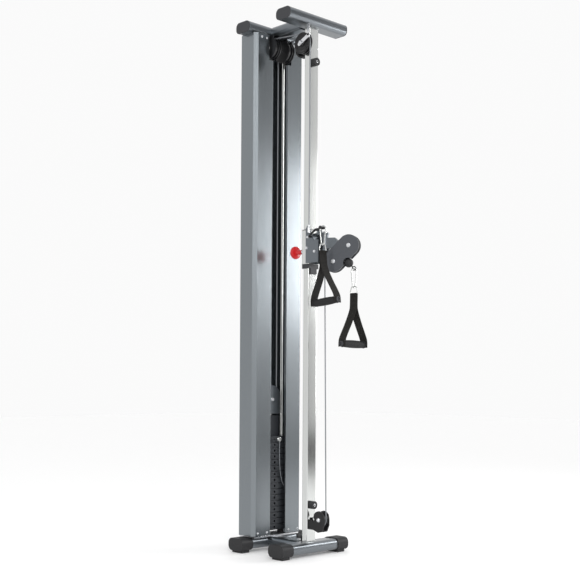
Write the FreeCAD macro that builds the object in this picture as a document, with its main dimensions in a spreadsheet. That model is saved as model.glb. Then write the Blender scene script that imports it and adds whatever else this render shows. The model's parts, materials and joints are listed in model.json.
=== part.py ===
import FreeCAD, Part
import math
import os
import re
import Sketcher
from FreeCAD import Placement, Rotation, Vector

# A free-standing cable station: an H-shaped base and top joined by a chrome column at the front
# and by two folded sheet covers round the weight stack at the rear. +Z is up, the user stands at
# -Y, and the origin is on the floor at the middle of the whole machine.
DIMS = {
    # frame
    "front_y": -36.465, "frame_depth": 240.0, "tower_height": 2180.0, "foot_lift": 12.0,
    "tube_width": 80.0, "tube_height": 45.0, "tube_wall": 2.0, "tube_round": 18.0,
    "foot_length": 374.0, "foot_cap_length": 60.0, "foot_cap_wall": 3.0, "foot_cap_end": 4.0,
    "foot_pad_height": 7.0, "foot_pad_inset": 10.0, "cap_gap": 0.2,
    "top_length": 328.0, "top_cap_lip": 4.0, "top_cap_plug": 18.0,
    # column
    "column_width": 50.0, "column_depth": 30.0, "column_wall": 2.0, "column_back": 3.0,
    "column_round": 4.0, "hole_radius": 5.5, "hole_pitch": 60.0, "hole_low": 452.0,
    "wheel_slot_width": 26.0, "wheel_slot_low": 2018.0, "wheel_slot_high": 2114.0,
    "foot_slot_low": 114.0, "foot_slot_high": 154.0, "foot_slot_width": 20.0,
    "bumper_radius": 16.0, "bumper_length": 18.0, "bumper_high": 1994.0, "bumper_low": 205.0,
    # covers and stack
    "cover_half_width": 138.5, "cover_front": 186.5, "cover_depth": 102.0, "cover_bend": 14.5,
    "cover_opening": 88.0, "cover_lip": 10.0, "cover_sheet": 1.6, "cover_low": 66.0, "lip_notch": 14.0,
    "notch_height": 100.0,
    "base_plate": 6.0, "base_plate_width": 250.0, "stack_low": 80.0, "plate_pitch": 24.6,
    "plate_gap": 0.5, "rebate": 2.0, "plate_width": 230.0, "plate_depth": 67.0, "stack_y": 240.0,
    "rod_x": 72.0, "rod_radius": 9.0, "rod_hole": 10.0, "stem_radius": 10.0, "stem_hole": 11.0,
    "pin_radius": 4.5, "pin_hole": 5.0, "neck_width": 72.0, "neck_top": 560.0,
    "lift_z": 627.0, "lift_half_width": 46.0, "lift_top": 686.0, "lift_low": 567.0,
    "cheek": 4.0,
    # cable and wheels
    "cable_radius": 2.5, "wheel_radius": 42.0, "wheel_half": 11.0, "groove_depth": 6.5,
    "groove_half": 3.4, "wheel_bore": 5.1, "bolt_radius": 5.0, "wheel_play": 1.0,
    "stack_wheel_z": 2088.0, "column_wheel_z": 2066.0, "front_wheel_z": 2068.0,
    "front_wheel_y": 11.0, "floor_wheel_radius": 29.0, "floor_wheel_y": -69.0,
    "floor_wheel_z": 150.0, "roller_radius": 15.2, "roller_half": 8.0,
    # carriage
    "sleeve_width": 60.0, "sleeve_depth": 40.0, "sleeve_wall": 2.5, "sleeve_low": 1178.0,
    "sleeve_high": 1314.0, "bush_play": 0.3, "bush_height": 30.0, "bush_skirt": 3.0, "lower_skirt": 18.0,
    "side_plate": 4.0, "pin_z": 1232.0, "barrel_radius": 11.0, "barrel_length": 22.0,
    "knob_radius": 26.0, "pop_travel": 14.0,
    # swivel head
    "swivel_y": -80.0, "head_turn": 27.0, "pivot_radius": 6.0, "tube_radius": 14.0,
    "lug_low": 1226.0, "lug_high": 1290.0, "lug_thick": 8.0,
    "lower_wheel_z": 1182.0, "upper_wheel_out": 101.0, "upper_wheel_z": 1244.0,
    "cheek_radius": 43.0, "cheek_inner": 12.0, "ball_radius": 18.0,
    # handles
    "grip_length": 140.0, "grip_radius": 14.0, "grip_bore": 11.0, "web_width": 40.0,
    "web_thick": 3.0, "strap_drop": 95.0, "handle_drop": 197.0, "hook_length": 80.0,
    "hook_width": 36.0, "hook_rod": 2.75, "ring_rod": 2.25, "ring_width": 47.0, "ring_height": 32.0,
    "peg_x": -60.0, "peg_y": -126.0, "peg_z": 1308.5, "peg_radius": 4.0,
}

doc = FreeCAD.newDocument("cable_station")
sheet = doc.addObject("Spreadsheet::Sheet", "dims")
for row, (alias, number) in enumerate(DIMS.items(), start=1):
    sheet.set(f"A{row}", alias)
    sheet.set(f"B{row}", str(number))
    sheet.setAlias(f"B{row}", alias)
doc.recompute()

NAMES = re.compile("|".join(rf"\b{n}\b" for n in sorted(DIMS, key=len, reverse=True)))
parts = {}


def link(formula):
    """A formula in words of the sheet, as an expression that reads its cells."""
    return NAMES.sub(lambda m: "<<dims>>." + m.group(0), str(formula))


def num(formula):
    """The value of such a formula now, for shapes that are made in code."""
    return float(value_of(str(formula)))


def value_of(formula):
    probe.setExpression("Value", link(formula))
    probe.recompute()
    return probe.Value


probe = doc.addObject("App::FeaturePython", "probe")
probe.addProperty("App::PropertyFloat", "Value")


def keep(node, obj):
    """Name a finished sub-part."""
    obj.Label = node
    parts[node] = obj
    return obj


def put(obj, x=0, y=0, z=0, rotation=None):
    """Bind an object's position to the sheet."""
    if rotation is not None:
        obj.Placement = Placement(Vector(), rotation)
    for axis, formula in zip("xyz", (x, y, z)):
        obj.setExpression(f"Placement.Base.{axis}", link(formula))
    return obj


def box(name, size, corner):
    obj = doc.addObject("Part::Box", name)
    for prop, formula in zip(("Length", "Width", "Height"), size):
        obj.setExpression(prop, link(formula))
    return put(obj, *corner)


TURNS = {"x": Rotation(Vector(0, 1, 0), 90), "y": Rotation(Vector(1, 0, 0), -90), "z": Rotation()}


def rod(name, axis, radius, length, start):
    """A cylinder that runs from start along +axis."""
    obj = doc.addObject("Part::Cylinder", name)
    obj.setExpression("Radius", link(radius))
    obj.setExpression("Height", link(length))
    return put(obj, *start, rotation=TURNS[axis])


def fuse(name, shapes):
    obj = doc.addObject("Part::MultiFuse", name)
    obj.Shapes = shapes
    return obj


def group(name, shapes):
    obj = doc.addObject("Part::Compound", name)
    obj.Links = shapes
    return obj


def cut(name, base, tools):
    obj = doc.addObject("Part::Cut", name)
    obj.Base = base
    obj.Tool = tools[0] if len(tools) == 1 else fuse(name + "_tools", tools)
    return obj


def solid(name, shape, placement=None):
    obj = doc.addObject("Part::Feature", name)
    obj.Shape = shape
    if placement is not None:
        obj.Placement = placement
    return obj


# --- sketched bodies -------------------------------------------------------------------------

def new_body(name):
    return doc.addObject("PartDesign::Body", name)


def new_sketch(body, role, name):
    sketch = body.newObject("Sketcher::SketchObject", name)
    plane = next(f for f in body.Origin.OriginFeatures if f.Role == role)
    sketch.AttachmentSupport = [(plane, "")]
    sketch.MapMode = "FlatFace"
    return sketch


def polygon(sketch, corners):
    """A closed outline whose corners are pairs of formulas."""
    points = [Vector(num(a), num(b), 0) for a, b in corners]
    first = len(sketch.Geometry)
    count = len(points)
    for i in range(count):
        sketch.addGeometry(Part.LineSegment(points[i], points[(i + 1) % count]))
    for i in range(count):
        sketch.addConstraint(Sketcher.Constraint("Coincident", first + i, 2, first + (i + 1) % count, 1))
    for i, (a, b) in enumerate(corners):
        for kind, formula in (("DistanceX", a), ("DistanceY", b)):
            index = sketch.addConstraint(Sketcher.Constraint(kind, -1, 1, first + i, 1, num(formula)))
            sketch.setExpression(f"Constraints[{index}]", link(formula))


def round_box(sketch, width, height, radius):
    """A rectangle with round corners, centred on the sketch's origin."""
    w, d, r = num(width) / 2, num(height) / 2, num(radius)
    first = len(sketch.Geometry)
    runs = [((-w + r, -d), (w - r, -d)), ((w, -d + r), (w, d - r)),
            ((w - r, d), (-w + r, d)), ((-w, d - r), (-w, -d + r))]
    centres = [(w - r, -d + r, -90), (w - r, d - r, 0), (-w + r, d - r, 90), (-w + r, -d + r, 180)]
    for (a, b), (x, y, start) in zip(runs, centres):
        sketch.addGeometry(Part.LineSegment(Vector(*a, 0), Vector(*b, 0)))
        circle = Part.Circle(Vector(x, y, 0), Vector(0, 0, 1), r)
        sketch.addGeometry(Part.ArcOfCircle(circle, math.radians(start), math.radians(start + 90)))
    for i in range(4):
        line, arc, after = first + 2 * i, first + 2 * i + 1, first + (2 * i + 2) % 8
        sketch.addConstraint(Sketcher.Constraint("Tangent", line, 2, arc, 1))
        sketch.addConstraint(Sketcher.Constraint("Tangent", arc, 2, after, 1))
        kind = "Horizontal" if i % 2 == 0 else "Vertical"
        sketch.addConstraint(Sketcher.Constraint(kind, line))
        if i:
            sketch.addConstraint(Sketcher.Constraint("Equal", first + 1, arc))
    index = sketch.addConstraint(Sketcher.Constraint("Radius", first + 1, r))
    sketch.setExpression(f"Constraints[{index}]", link(radius))
    sides = (("DistanceY", first, 1, -d, f"-({height}) / 2"),
             ("DistanceX", first + 2, 1, w, f"({width}) / 2"),
             ("DistanceY", first + 4, 1, d, f"({height}) / 2"),
             ("DistanceX", first + 6, 1, -w, f"-({width}) / 2"))
    for kind, geometry, point, number, formula in sides:
        index = sketch.addConstraint(Sketcher.Constraint(kind, -1, 1, geometry, point, number))
        sketch.setExpression(f"Constraints[{index}]", link(formula))


def pad(body, sketch, length, midplane=True):
    feature = body.newObject("PartDesign::Pad", body.Name + "_pad")
    feature.Profile = sketch
    feature.Midplane = midplane
    feature.setExpression("Length", link(length))
    sketch.Visibility = False
    return feature


def plate(name, role, corners, thick, x=0, y=0, z=0):
    """A flat plate with a straight-sided outline, centred on its plane."""
    body = new_body(name)
    sketch = new_sketch(body, role, name + "_outline")
    polygon(sketch, corners)
    pad(body, sketch, thick)
    return put(body, x, y, z)


def round_bar(name, role, width, height, radius, length, wall=None, x=0, y=0, z=0):
    """A bar or tube of rounded rectangular section, centred along its length."""
    body = new_body(name)
    sketch = new_sketch(body, role, name + "_section")
    round_box(sketch, width, height, radius)
    if wall is not None:
        round_box(sketch, f"{width} - 2 * {wall}", f"{height} - 2 * {wall}", f"{radius} - {wall}")
    pad(body, sketch, length)
    return put(body, x, y, z)


def wheel(node, axis, radius, half, x, y, z, turn=None):
    """A grooved wheel with a plain bore."""
    body = new_body(node)
    sketch = new_sketch(body, "XZ_Plane", node + "_half_section")
    corners = [("wheel_bore", f"-({half})"), (radius, f"-({half})"), (radius, "-groove_half - 1.2"),
               (f"{radius} - groove_depth", "-groove_half + 0.6"),
               (f"{radius} - groove_depth", "groove_half - 0.6"),
               (radius, "groove_half + 1.2"), (radius, half), ("wheel_bore", half)]
    polygon(sketch, corners)
    feature = body.newObject("PartDesign::Revolution", node + "_turned")
    feature.Profile = sketch
    feature.ReferenceAxis = (sketch, ["V_Axis"])
    feature.Angle = 360
    put(body, x, y, z, rotation=TURNS[axis] if turn is None else turn)
    return keep(node, body)


# --- base and top ----------------------------------------------------------------------------

def cross_tubes():
    foot_z = "foot_lift + tube_height / 2"
    top_z = "tower_height - tube_height / 2"
    foot = "foot_length - 2 * foot_cap_end - 2 * cap_gap"
    top = "top_length - 2 * top_cap_lip"
    rows = (("front_foot_tube", foot, "front_y", foot_z),
            ("rear_foot_tube", foot, "front_y + frame_depth", foot_z),
            ("top_front_tube", top, "front_y", top_z),
            ("top_rear_tube", top, "front_y + frame_depth", top_z))
    for node, length, y, z in rows:
        keep(node, round_bar(node, "YZ_Plane", "tube_width", "tube_height", "tube_round", length,
                             "tube_wall", 0, y, z))
    for node, z in (("base_spine_tube", foot_z), ("top_spine_tube", top_z)):
        keep(node, round_bar(node, "XZ_Plane", "tube_width", "tube_height", "tube_round",
                             "frame_depth - tube_width", "tube_wall", 0, "front_y + frame_depth / 2", z))


def foot_caps():
    """Rubber caps over the ends of both feet, each with a pad that meets the floor."""
    caps = []
    for i, (side, y) in enumerate(((-1, "front_y"), (1, "front_y"), (-1, "front_y + frame_depth"),
                                   (1, "front_y + frame_depth"))):
        x = f"{side} * (foot_length - foot_cap_length) / 2"
        z = "foot_lift + tube_height / 2"
        shell = round_bar(f"foot_cap_shell_{i}", "YZ_Plane", "tube_width + 2 * foot_cap_wall",
                          "tube_height + 2 * foot_cap_wall", "tube_round + foot_cap_wall",
                          "foot_cap_length", None, x, y, z)
        pad_box = box(f"foot_pad_{i}",
                      ("foot_cap_length - 2 * foot_pad_inset", "tube_width - 2 * foot_pad_inset",
                                        "foot_pad_height + 6"),
                      (f"{x} - foot_cap_length / 2 + foot_pad_inset",
                       f"{y} - tube_width / 2 + foot_pad_inset", 0))
        bore = round_bar(f"foot_cap_bore_{i}", "YZ_Plane", "tube_width + 2 * cap_gap",
                         "tube_height + 2 * cap_gap",
                         "tube_round + cap_gap", "foot_cap_length", None, f"{x} - {side} * foot_cap_end", y,
                         z)
        caps.append(cut(f"foot_cap_{i}", fuse(f"foot_cap_solid_{i}", [shell, pad_box]), [bore]))
    keep("foot_caps", group("foot_caps", caps))


def top_caps():
    """Plastic plugs in the ends of the two top tubes."""
    caps = []
    for i, (side, y) in enumerate(((-1, "front_y"), (1, "front_y"), (-1, "front_y + frame_depth"),
                                   (1, "front_y + frame_depth"))):
        z = "tower_height - tube_height / 2"
        lip = round_bar(f"top_cap_lip_{i}", "YZ_Plane", "tube_width", "tube_height", "tube_round",
                        "top_cap_lip",
                        None, f"{side} * (top_length - top_cap_lip) / 2", y, z)
        plug = round_bar(f"top_cap_plug_{i}", "YZ_Plane", "tube_width - 2 * tube_wall - 2 * cap_gap",
                         "tube_height - 2 * tube_wall - 2 * cap_gap", "tube_round - tube_wall - cap_gap",
                         "top_cap_plug",
                         None, f"{side} * (top_length / 2 - top_cap_lip - top_cap_plug / 2)", y, z)
        caps.append(fuse(f"top_cap_{i}", [lip, plug]))
    keep("top_caps", group("top_caps", caps))


# --- column ----------------------------------------------------------------------------------

COLUMN_Y = "front_y + column_back"
COLUMN_FRONT = "front_y + column_back - column_depth / 2"
COLUMN_REAR = "front_y + column_back + column_depth / 2"
HOLE_COUNT = 24


def column():
    low = "foot_lift + tube_height"
    high = "tower_height - tube_height"
    tube = round_bar("column_tube", "XY_Plane", "column_width", "column_depth", "column_round",
                     f"{high} - ({low})",
                     "column_wall", 0, COLUMN_Y, f"({high} + {low}) / 2")
    tools = [rod(f"pin_hole_{i}", "y", "hole_radius", "4 * column_wall",
                 (0, f"{COLUMN_REAR} - 2 * column_wall",
                  f"hole_low + {i} * hole_pitch")) for i in range(HOLE_COUNT)]
    tools.append(box("top_wheel_slot",
                     ("wheel_slot_width", "4 * column_wall", "wheel_slot_high - wheel_slot_low"),
                     ("-wheel_slot_width / 2", f"{COLUMN_REAR} - 2 * column_wall", "wheel_slot_low")))
    tools.append(box("cable_slot", ("foot_slot_width", "4 * column_wall", "foot_slot_high - foot_slot_low"),
                     ("-foot_slot_width / 2", f"{COLUMN_FRONT} - 2 * column_wall", "foot_slot_low")))
    tools.append(rod("front_bolt_hole", "x", "bolt_radius + 0.1", "4 * column_wall",
                     ("-column_width / 2 - 2 * column_wall", "front_y + front_wheel_y", "front_wheel_z")))
    keep("column", cut("column", tube, tools))


def bumpers():
    """Round rubber stops on the column's front, and the rubber rings under the weight stack."""
    rows = [("y", "bumper_radius", "bumper_length", (0, f"{COLUMN_FRONT} - bumper_length", z))
            for z in ("bumper_high", "bumper_low")]
    stops = [rod(f"bumper_{i}", *row) for i, row in enumerate(rows)]
    floor = "foot_lift + tube_height + base_plate"
    for side in (-1, 1):
        where = (f"{side} * rod_x", "front_y + stack_y", floor)
        ring = rod(f"buffer_ring_{side + 1}", "z", "2 * rod_radius", f"stack_low - ({floor})", where)
        bore = rod(f"buffer_bore_{side + 1}", "z", "rod_hole", f"stack_low - ({floor})", where)
        stops.append(cut(f"buffer_{side + 1}", ring, [bore]))
    keep("rubber_bumpers", group("rubber_bumpers", stops))


# --- covers ----------------------------------------------------------------------------------

def covers():
    """Two folded sheet channels that face each other round the stack."""
    for node, side in (("left_shroud", -1), ("right_shroud", 1)):
        outer, inner = "cover_half_width", "cover_opening / 2"
        front, back = "cover_front", "cover_front + cover_depth"
        bend, lip, t = "cover_bend", "cover_lip", "cover_sheet"
        k = 0.4142
        line = [(inner, f"{front} + {lip}"), (inner, front), (f"{outer} - {bend}", front),
                (outer, f"{front} + {bend}"),
                (outer, f"{back} - {bend}"), (f"{outer} - {bend}", back), (inner, back),
                (inner, f"{back} - {lip}"),
                (f"{inner} + {t}", f"{back} - {lip}"), (f"{inner} + {t}", f"{back} - {t}"),
                (f"{outer} - {bend} - {k} * {t}", f"{back} - {t}"),
                (f"{outer} - {t}", f"{back} - {bend} - {k} * {t}"),
                (f"{outer} - {t}", f"{front} + {bend} + {k} * {t}"),
                (f"{outer} - {bend} - {k} * {t}", f"{front} + {t}"),
                (f"{inner} + {t}", f"{front} + {t}"), (f"{inner} + {t}", f"{front} + {lip}")]
        corners = [(f"{side} * ({x})", f"front_y + {y}") for x, y in line]
        low, high = "cover_low", "tower_height - tube_height"
        folded = plate(node + "_folded", "XY_Plane", corners, f"{high} - {low}", 0, 0,
                       f"({high} + {low}) / 2")
        notch = box(node + "_notch", ("63", "lip_notch", "notch_height"),
                    ("-63" if side < 0 else "0", f"front_y + {front} - 1", f"{high} - notch_height"))
        keep(node, cut(node, folded, [notch]))


def stack_base():
    floor = "foot_lift + tube_height"
    deck = box("deck", ("base_plate_width", "cover_depth - 8", "base_plate"),
               ("-base_plate_width / 2", "front_y + cover_front + 4", floor))
    holes = [rod(f"deck_hole_{side + 1}", "z", "rod_radius + 0.1", "base_plate",
                 (f"{side} * rod_x", "front_y + stack_y", floor)) for side in (-1, 1)]
    keep("stack_base_plate", cut("stack_base_plate", deck, holes))
    low, high = "foot_lift + tube_height", "tower_height - tube_height"
    rods = [rod(f"guide_rod_{side + 1}", "z", "rod_radius", f"{high} - ({low})",
                (f"{side} * rod_x", "front_y + stack_y", low)) for side in (-1, 1)]
    keep("guide_rods", group("guide_rods", rods))


# --- weight stack ----------------------------------------------------------------------------

PLATE_COUNT = 15


def plate_bores(tag, low, height):
    """Bores for the rods and the stem through a stretch of the stack."""
    bores = [rod(f"{tag}_rod_bore_{side + 1}", "z", "rod_hole", height,
                 (f"{side} * rod_x", "front_y + stack_y", low)) for side in (-1, 1)]
    bores.append(rod(f"{tag}_stem_bore", "z", "stem_hole", height, (0, "front_y + stack_y", low)))
    return bores


def weight_plates():
    block = box("stack_block", ("plate_width", "plate_depth", f"{PLATE_COUNT} * plate_pitch - plate_gap"),
                ("-plate_width / 2", "front_y + stack_y - plate_depth / 2", "stack_low"))
    tools = plate_bores("stack", "stack_low - 1", f"{PLATE_COUNT} * plate_pitch + 2")
    for i in range(PLATE_COUNT):
        tools.append(rod(f"selector_hole_{i}", "y", "pin_hole", "plate_depth / 2 + 14",
                         (0, "front_y + stack_y - plate_depth / 2 - 1",
                          f"stack_low + ({i} + 0.5) * plate_pitch")))
        if i:
            tools.append(box(f"plate_gap_{i}", ("plate_width + 2", "plate_depth + 2", "plate_gap"),
                             ("-plate_width / 2 - 1", "front_y + stack_y - plate_depth / 2 - 1",
                              f"stack_low + {i} * plate_pitch - plate_gap")))
    for i in range(PLATE_COUNT + 1):
        tools.append(box(f"plate_rebate_{i}", ("plate_width + 2", "rebate + 1", "2 * rebate"),
                         ("-plate_width / 2 - 1", "front_y + stack_y - plate_depth / 2 - 1",
                          f"stack_low + {i} * plate_pitch - plate_gap / 2 - rebate")))
    keep("weight_plates", cut("weight_plates", block, tools))


HEAD_LOW = f"stack_low + {PLATE_COUNT} * plate_pitch"
PIN_HEIGHT = f"stack_low + {PLATE_COUNT + 0.5} * plate_pitch"


def head_plate():
    deck = box("head_deck", ("plate_width", "plate_depth", "plate_pitch - plate_gap"),
               ("-plate_width / 2", "front_y + stack_y - plate_depth / 2", HEAD_LOW))
    neck = box("head_neck", ("neck_width", "36", f"neck_top - ({HEAD_LOW})"),
               ("-neck_width / 2", "front_y + stack_y - 18", HEAD_LOW))
    tools = plate_bores("head", f"{HEAD_LOW} - 1", "120")
    tools.append(rod("head_pin_hole", "y", "pin_hole", "plate_depth / 2 + 14",
                     (0, "front_y + stack_y - plate_depth / 2 - 1", PIN_HEIGHT)))
    keep("head_plate", cut("head_plate", fuse("head_solid", [deck, neck]), tools))


def selector_stem():
    bar = rod("stem_bar", "z", "stem_radius", "neck_top + 7 - stack_low",
              (0, "front_y + stack_y", "stack_low"))
    holes = [rod(f"stem_hole_{i}", "y", "pin_hole", "4 * stem_radius",
                 (0, "front_y + stack_y - 2 * stem_radius", f"stack_low + ({i} + 0.5) * plate_pitch"))
             for i in range(PLATE_COUNT + 1)]
    keep("selector_stem", cut("selector_stem", bar, holes))


def selector_pin():
    shaft = rod("pin_shaft", "y", "pin_radius", "66", (0, "front_y + stack_y - 54", PIN_HEIGHT))
    knob = rod("pin_knob", "y", "9", "12", (0, "front_y + stack_y - 66", PIN_HEIGHT))
    keep("selector_pin", fuse("selector_pin", [shaft, knob]))


def lift_bracket():
    """Two cheeks on a bridge, over the stem."""
    arc_z = "lift_top - lift_half_width"
    pieces = []
    for i, y in enumerate(("-wheel_half - wheel_play - cheek", "wheel_half + wheel_play")):
        where = f"front_y + stack_y + ({y})"
        pieces.append(box(f"lift_cheek_{i}", ("2 * lift_half_width", "cheek", f"{arc_z} - lift_low"),
                          ("-lift_half_width", where, "lift_low")))
        pieces.append(rod(f"lift_crown_{i}", "y", "lift_half_width", "cheek", (0, where, arc_z)))
    pieces.append(box("lift_bridge", ("2 * lift_half_width", "2 * (wheel_half + wheel_play + cheek)", "6"),
                      ("-lift_half_width", "front_y + stack_y - wheel_half - wheel_play - cheek",
                       "lift_low")))
    bore = rod("lift_bolt_hole", "y", "bolt_radius + 0.05", "60", (0, "front_y + stack_y - 30", "lift_z"))
    keep("lift_bracket", cut("lift_bracket", fuse("lift_solid", pieces), [bore]))


def lift_bolt():
    half = "wheel_half + wheel_play + cheek"
    shaft = rod("lift_shaft", "y", "bolt_radius", f"2 * ({half})",
                (0, f"front_y + stack_y - ({half})", "lift_z"))
    heads = [rod("lift_bolt_head", "y", "8", "5", (0, f"front_y + stack_y - ({half}) - 5", "lift_z")),
             rod("lift_bolt_nut", "y", "8", "6", (0, f"front_y + stack_y + {half}", "lift_z"))]
    keep("lift_bolt", fuse("lift_bolt", [shaft] + heads))


# --- wheels, bolts and brackets --------------------------------------------------------------

PITCH = "(wheel_radius - groove_depth + cable_radius + 0.3)"
FLOOR_PITCH = "(floor_wheel_radius - groove_depth + cable_radius + 0.3)"
ROLLER_PITCH = "(roller_radius - groove_depth + cable_radius + 0.3)"
STACK_WHEEL_Y = f"front_y + stack_y - {PITCH}"
CABLE_Y = f"{COLUMN_Y} + 5"
COLUMN_WHEEL_Y = f"{CABLE_Y} + {PITCH}"
FLOOR_RUN_Z = f"floor_wheel_z - {FLOOR_PITCH}"
ROLLER_Y = f"{CABLE_Y} - {ROLLER_PITCH}"
ROLLER_Z = f"{FLOOR_RUN_Z} + {ROLLER_PITCH}"


def fixed_wheels():
    wheel("front_top_wheel", "x", "wheel_radius", "wheel_half", f"-{PITCH}", "front_y + front_wheel_y",
          "front_wheel_z")
    wheel("column_top_wheel", "x", "wheel_radius", "wheel_half", 0, COLUMN_WHEEL_Y, "column_wheel_z")
    wheel("left_stack_wheel", "x", "wheel_radius", "wheel_half", f"-{PITCH}", STACK_WHEEL_Y, "stack_wheel_z")
    wheel("right_stack_wheel", "x", "wheel_radius", "wheel_half", PITCH, STACK_WHEEL_Y, "stack_wheel_z")
    wheel("floor_wheel", "x", "floor_wheel_radius", "wheel_half", 0, "front_y + floor_wheel_y",
          "floor_wheel_z")
    wheel("foot_roller", "x", "roller_radius", "roller_half", 0, ROLLER_Y, ROLLER_Z)
    wheel("lift_wheel", "y", "wheel_radius", "wheel_half", 0, "front_y + stack_y", "lift_z")


def bolt(name, x0, x1, y, z, head=True, nut=True):
    """A bolt along X, from the inside of its head to the inside of its nut."""
    pieces = [rod(name + "_shaft", "x", "bolt_radius", f"{x1} - ({x0})", (x0, y, z))]
    if head:
        pieces.append(rod(name + "_head", "x", "8.5", "6", (f"{x0} - 6", y, z)))
    if nut:
        pieces.append(rod(name + "_nut", "x", "8.5", "7", (x1, y, z)))
    return fuse(name, pieces)


def front_bar():
    """A bright flat bar outside the front wheel, with a tab up to the top tube."""
    x = f"-({PITCH} + wheel_half + wheel_play) - cheek"
    y, z = "front_y + front_wheel_y", "front_wheel_z"
    web = plate("front_bar_web", "YZ_Plane", [(12.5, 3.2), (5.5, -11.2), (-44.5, 12.8), (-37.5, 27.2)],
                "cheek",
                f"{x} + cheek / 2", y, z)
    ends = [rod("front_bar_low", "x", "8", "cheek", (x, f"{y} + 9", f"{z} - 4")),
            rod("front_bar_high", "x", "8", "cheek", (x, f"{y} - 41", f"{z} + 20"))]
    tab = box("front_bar_tab", ("cheek", "12", f"tower_height - tube_height + 0.2 - ({z} + 20)"),
              (x, f"{y} - 47", f"{z} + 20"))
    bore = rod("front_bar_bore", "x", "bolt_radius + 0.05", "cheek", (x, y, z))
    return cut("front_bar", fuse("front_bar_solid", [web, tab] + ends), [bore])


def wheel_bolts():
    side = f"{PITCH} + wheel_half + wheel_play + cheek"
    pieces = [bolt("front_bolt", f"-({side})", "-column_width / 2 + column_wall - 0.2",
                   "front_y + front_wheel_y",
                   "front_wheel_z", nut=False),
              bolt("column_wheel_bolt", "-wheel_half - wheel_play - cheek",
                   "wheel_half + wheel_play + cheek",
                   COLUMN_WHEEL_Y, "column_wheel_z"),
              bolt("stack_axle", f"-({side})", side, STACK_WHEEL_Y, "stack_wheel_z"),
              bolt("floor_bolt", "-wheel_half - wheel_play - cheek", "wheel_half + wheel_play + cheek",
                   "front_y + floor_wheel_y", "floor_wheel_z"),
              rod("roller_pin", "x", "bolt_radius", "column_width - 2 * column_wall - 0.4",
                  ("-column_width / 2 + column_wall + 0.2", ROLLER_Y, ROLLER_Z))]
    pieces.append(front_bar())
    keep("wheel_bolts", group("wheel_bolts", pieces))


def hanger(name, x, y, z, drop_radius="wheel_radius + 3"):
    """A cheek that hangs from the underside of the top frame, round at its wheel."""
    top = "tower_height - tube_height"
    pieces = [box(name + "_web", ("cheek", "60", f"{top} - {z}"), (x, f"{y} - 30", z)),
              rod(name + "_disc", "x", drop_radius, "cheek", (x, y, z))]
    bore = rod(name + "_bore", "x", "bolt_radius + 0.05", "cheek", (x, y, z))
    return cut(name, fuse(name + "_solid", pieces), [bore])


def top_brackets():
    inner = f"{PITCH} - wheel_half - wheel_play - cheek"
    outer = f"{PITCH} + wheel_half + wheel_play"
    pieces = []
    for i, x in enumerate((f"-({outer}) - cheek", f"-({inner}) - cheek", inner, outer)):
        pieces.append(hanger(f"stack_hanger_{i}", x, STACK_WHEEL_Y, "stack_wheel_z"))
    for i, x in enumerate(("-wheel_half - wheel_play - cheek", "wheel_half + wheel_play")):
        ear = box(f"ear_web_{i}", ("cheek", "52", "50"), (x, COLUMN_REAR, "column_wheel_z - 25"))
        bore = rod(f"ear_bore_{i}", "x", "bolt_radius + 0.05", "cheek",
                   (x, COLUMN_WHEEL_Y, "column_wheel_z"))
        pieces.append(cut(f"column_ear_{i}", ear, [bore]))
    spacer = rod("front_spacer", "x", "8", f"{PITCH} - wheel_half - wheel_play / 2 - column_width / 2",
                 (f"-({PITCH}) + wheel_half + wheel_play / 2", "front_y + front_wheel_y", "front_wheel_z"))
    spacer_bore = rod("spacer_bore", "x", "bolt_radius + 0.05", "20",
                      (f"-({PITCH}) + wheel_half", "front_y + front_wheel_y", "front_wheel_z"))
    pieces.append(cut("front_wheel_spacer", spacer, [spacer_bore]))
    keep("top_brackets", group("top_brackets", pieces))


def floor_housing():
    """Cheeks of the floor pulley with arms to the column, and a cover behind the column's foot."""
    outline = [(57, -42), (57, -8), (20, -8), (30, 8), (27, 22), (15, 32), (0, 36), (-15, 32), (-26, 22),
               (-30, 6),
               (-30, -20), (-18, -46), (4, -51), (30, -42)]
    bore_y = "front_y + floor_wheel_y"
    pieces = []
    for i, x in enumerate(("-wheel_half - wheel_play - cheek / 2", "wheel_half + wheel_play + cheek / 2")):
        cheek = plate(f"floor_cheek_{i}", "YZ_Plane", outline, "cheek", x, bore_y, "floor_wheel_z")
        bore = rod(f"floor_bore_{i}", "x", "bolt_radius + 0.05", "cheek",
                   (f"{x} - cheek / 2", bore_y, "floor_wheel_z"))
        pieces.append(cut(f"floor_cheek_cut_{i}", cheek, [bore]))
    pieces.append(box("foot_cover", ("20", "20", "22"), ("-10", COLUMN_REAR, "foot_lift + tube_height")))
    keep("floor_wheel_housing", group("floor_wheel_housing", pieces))


def frame_fasteners():
    """Screws at the foot and head of each cover, and the end of the front wheel's cross bolt."""
    front = "front_y + cover_front"
    pieces = []
    for side in (-1, 1):
        for x, z in ((62, "cover_low + 12"), (112, "cover_low + 12"),
                     (76, "tower_height - tube_height - 14"),
                     (104, "tower_height - tube_height - 14")):
            tag = f"cover_screw_{side + 1}_{x}"
            pieces.append(rod(tag, "y", "5", "3", (f"{side} * {x}", f"{front} - 3", z)))
    pieces.append(rod("cross_bolt_end", "x", "6", "8",
                      ("column_width / 2", "front_y + column_back - 4", "2058")))
    keep("frame_fasteners", group("frame_fasteners", pieces))


# --- carriage --------------------------------------------------------------------------------

def sleeve():
    low, high = "sleeve_low", "sleeve_high"
    tube = round_bar("sleeve_tube", "XY_Plane", "sleeve_width", "sleeve_depth", "5", f"{high} - {low}",
                     "sleeve_wall", 0, COLUMN_Y, f"({high} + {low}) / 2")
    bore = rod("barrel_seat", "y", "6", "8", (0, f"{COLUMN_REAR}", "pin_z"))
    keep("carriage_sleeve", cut("carriage_sleeve", tube, [bore]))


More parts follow.
